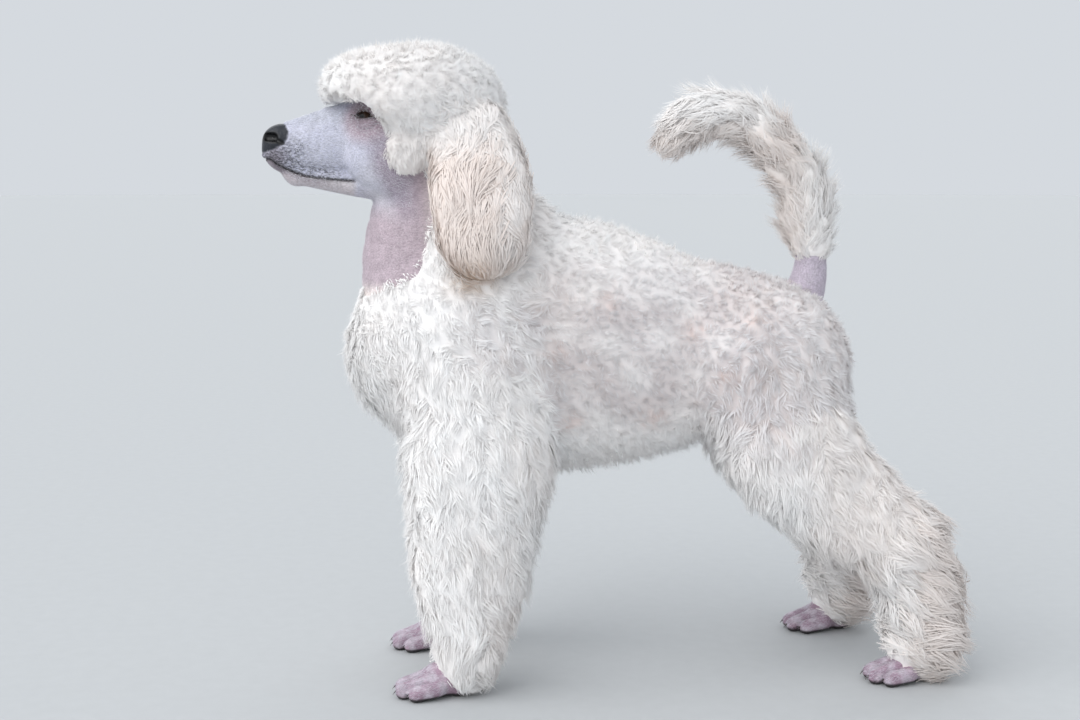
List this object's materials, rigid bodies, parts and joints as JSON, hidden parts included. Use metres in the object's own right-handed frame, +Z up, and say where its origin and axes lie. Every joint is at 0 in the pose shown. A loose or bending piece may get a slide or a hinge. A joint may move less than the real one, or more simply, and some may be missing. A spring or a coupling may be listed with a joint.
{
  "type": "standard poodle model",
  "caption": "Life-size still model of a young standard poodle standing square: round topknot, hanging ears, clipped face, plumed tail curving forward, full leg hair over clipped feet.",
  "frame": {"origin": "on the floor, under the middle of the bounding box", "axes": "+X towards the tail, the dog faces -X; -Y is its left side; +Z up"},
  "size_m": [0.6869, 0.259, 0.6278],
  "materials": {
    "white_coat": "soft matte, fine curly hair",
    "cream_coat": "soft matte, long wavy hair",
    "face_skin": "matte, short white stubble over grey-lilac skin",
    "bare_skin": "matte, clipped pink-lilac skin",
    "nose_leather": "moist, fine grain",
    "eye": "wet gloss, dark brown",
    "claw": "satin horn"
  },
  "bodies": {
    "root": {"chest": "white_coat", "claw_forefoot_left_1": "claw", "claw_forefoot_left_2": "claw", "claw_forefoot_left_3": "claw", "claw_forefoot_left_4": "claw", "claw_forefoot_right_1": "claw", "claw_forefoot_right_2": "claw", "claw_forefoot_right_3": "claw", "claw_forefoot_right_4": "claw", "claw_hindfoot_left_1": "claw", "claw_hindfoot_left_2": "claw", "claw_hindfoot_left_3": "claw", "claw_hindfoot_left_4": "claw", "claw_hindfoot_right_1": "claw", "claw_hindfoot_right_2": "claw", "claw_hindfoot_right_3": "claw", "claw_hindfoot_right_4": "claw", "ear_left": "cream_coat", "ear_right": "cream_coat", "eye_left": "eye", "eye_right": "eye", "forefoot_left": "bare_skin", "forefoot_right": "bare_skin", "foreleg_left": "white_coat", "foreleg_right": "white_coat", "head": "white_coat", "hindfoot_left": "bare_skin", "hindfoot_right": "bare_skin", "hock_left": "cream_coat", "hock_right": "cream_coat", "loin": "white_coat", "lower_jaw": "face_skin", "muzzle": "face_skin", "neck": "white_coat", "nose": "nose_leather", "rump": "white_coat", "shank_left": "white_coat", "shank_right": "white_coat", "tail_lower": "white_coat", "tail_root": "bare_skin", "tail_tip": "white_coat", "tail_upper": "white_coat", "thigh_left": "white_coat", "thigh_right": "white_coat"}
  },
  "joints": []
}
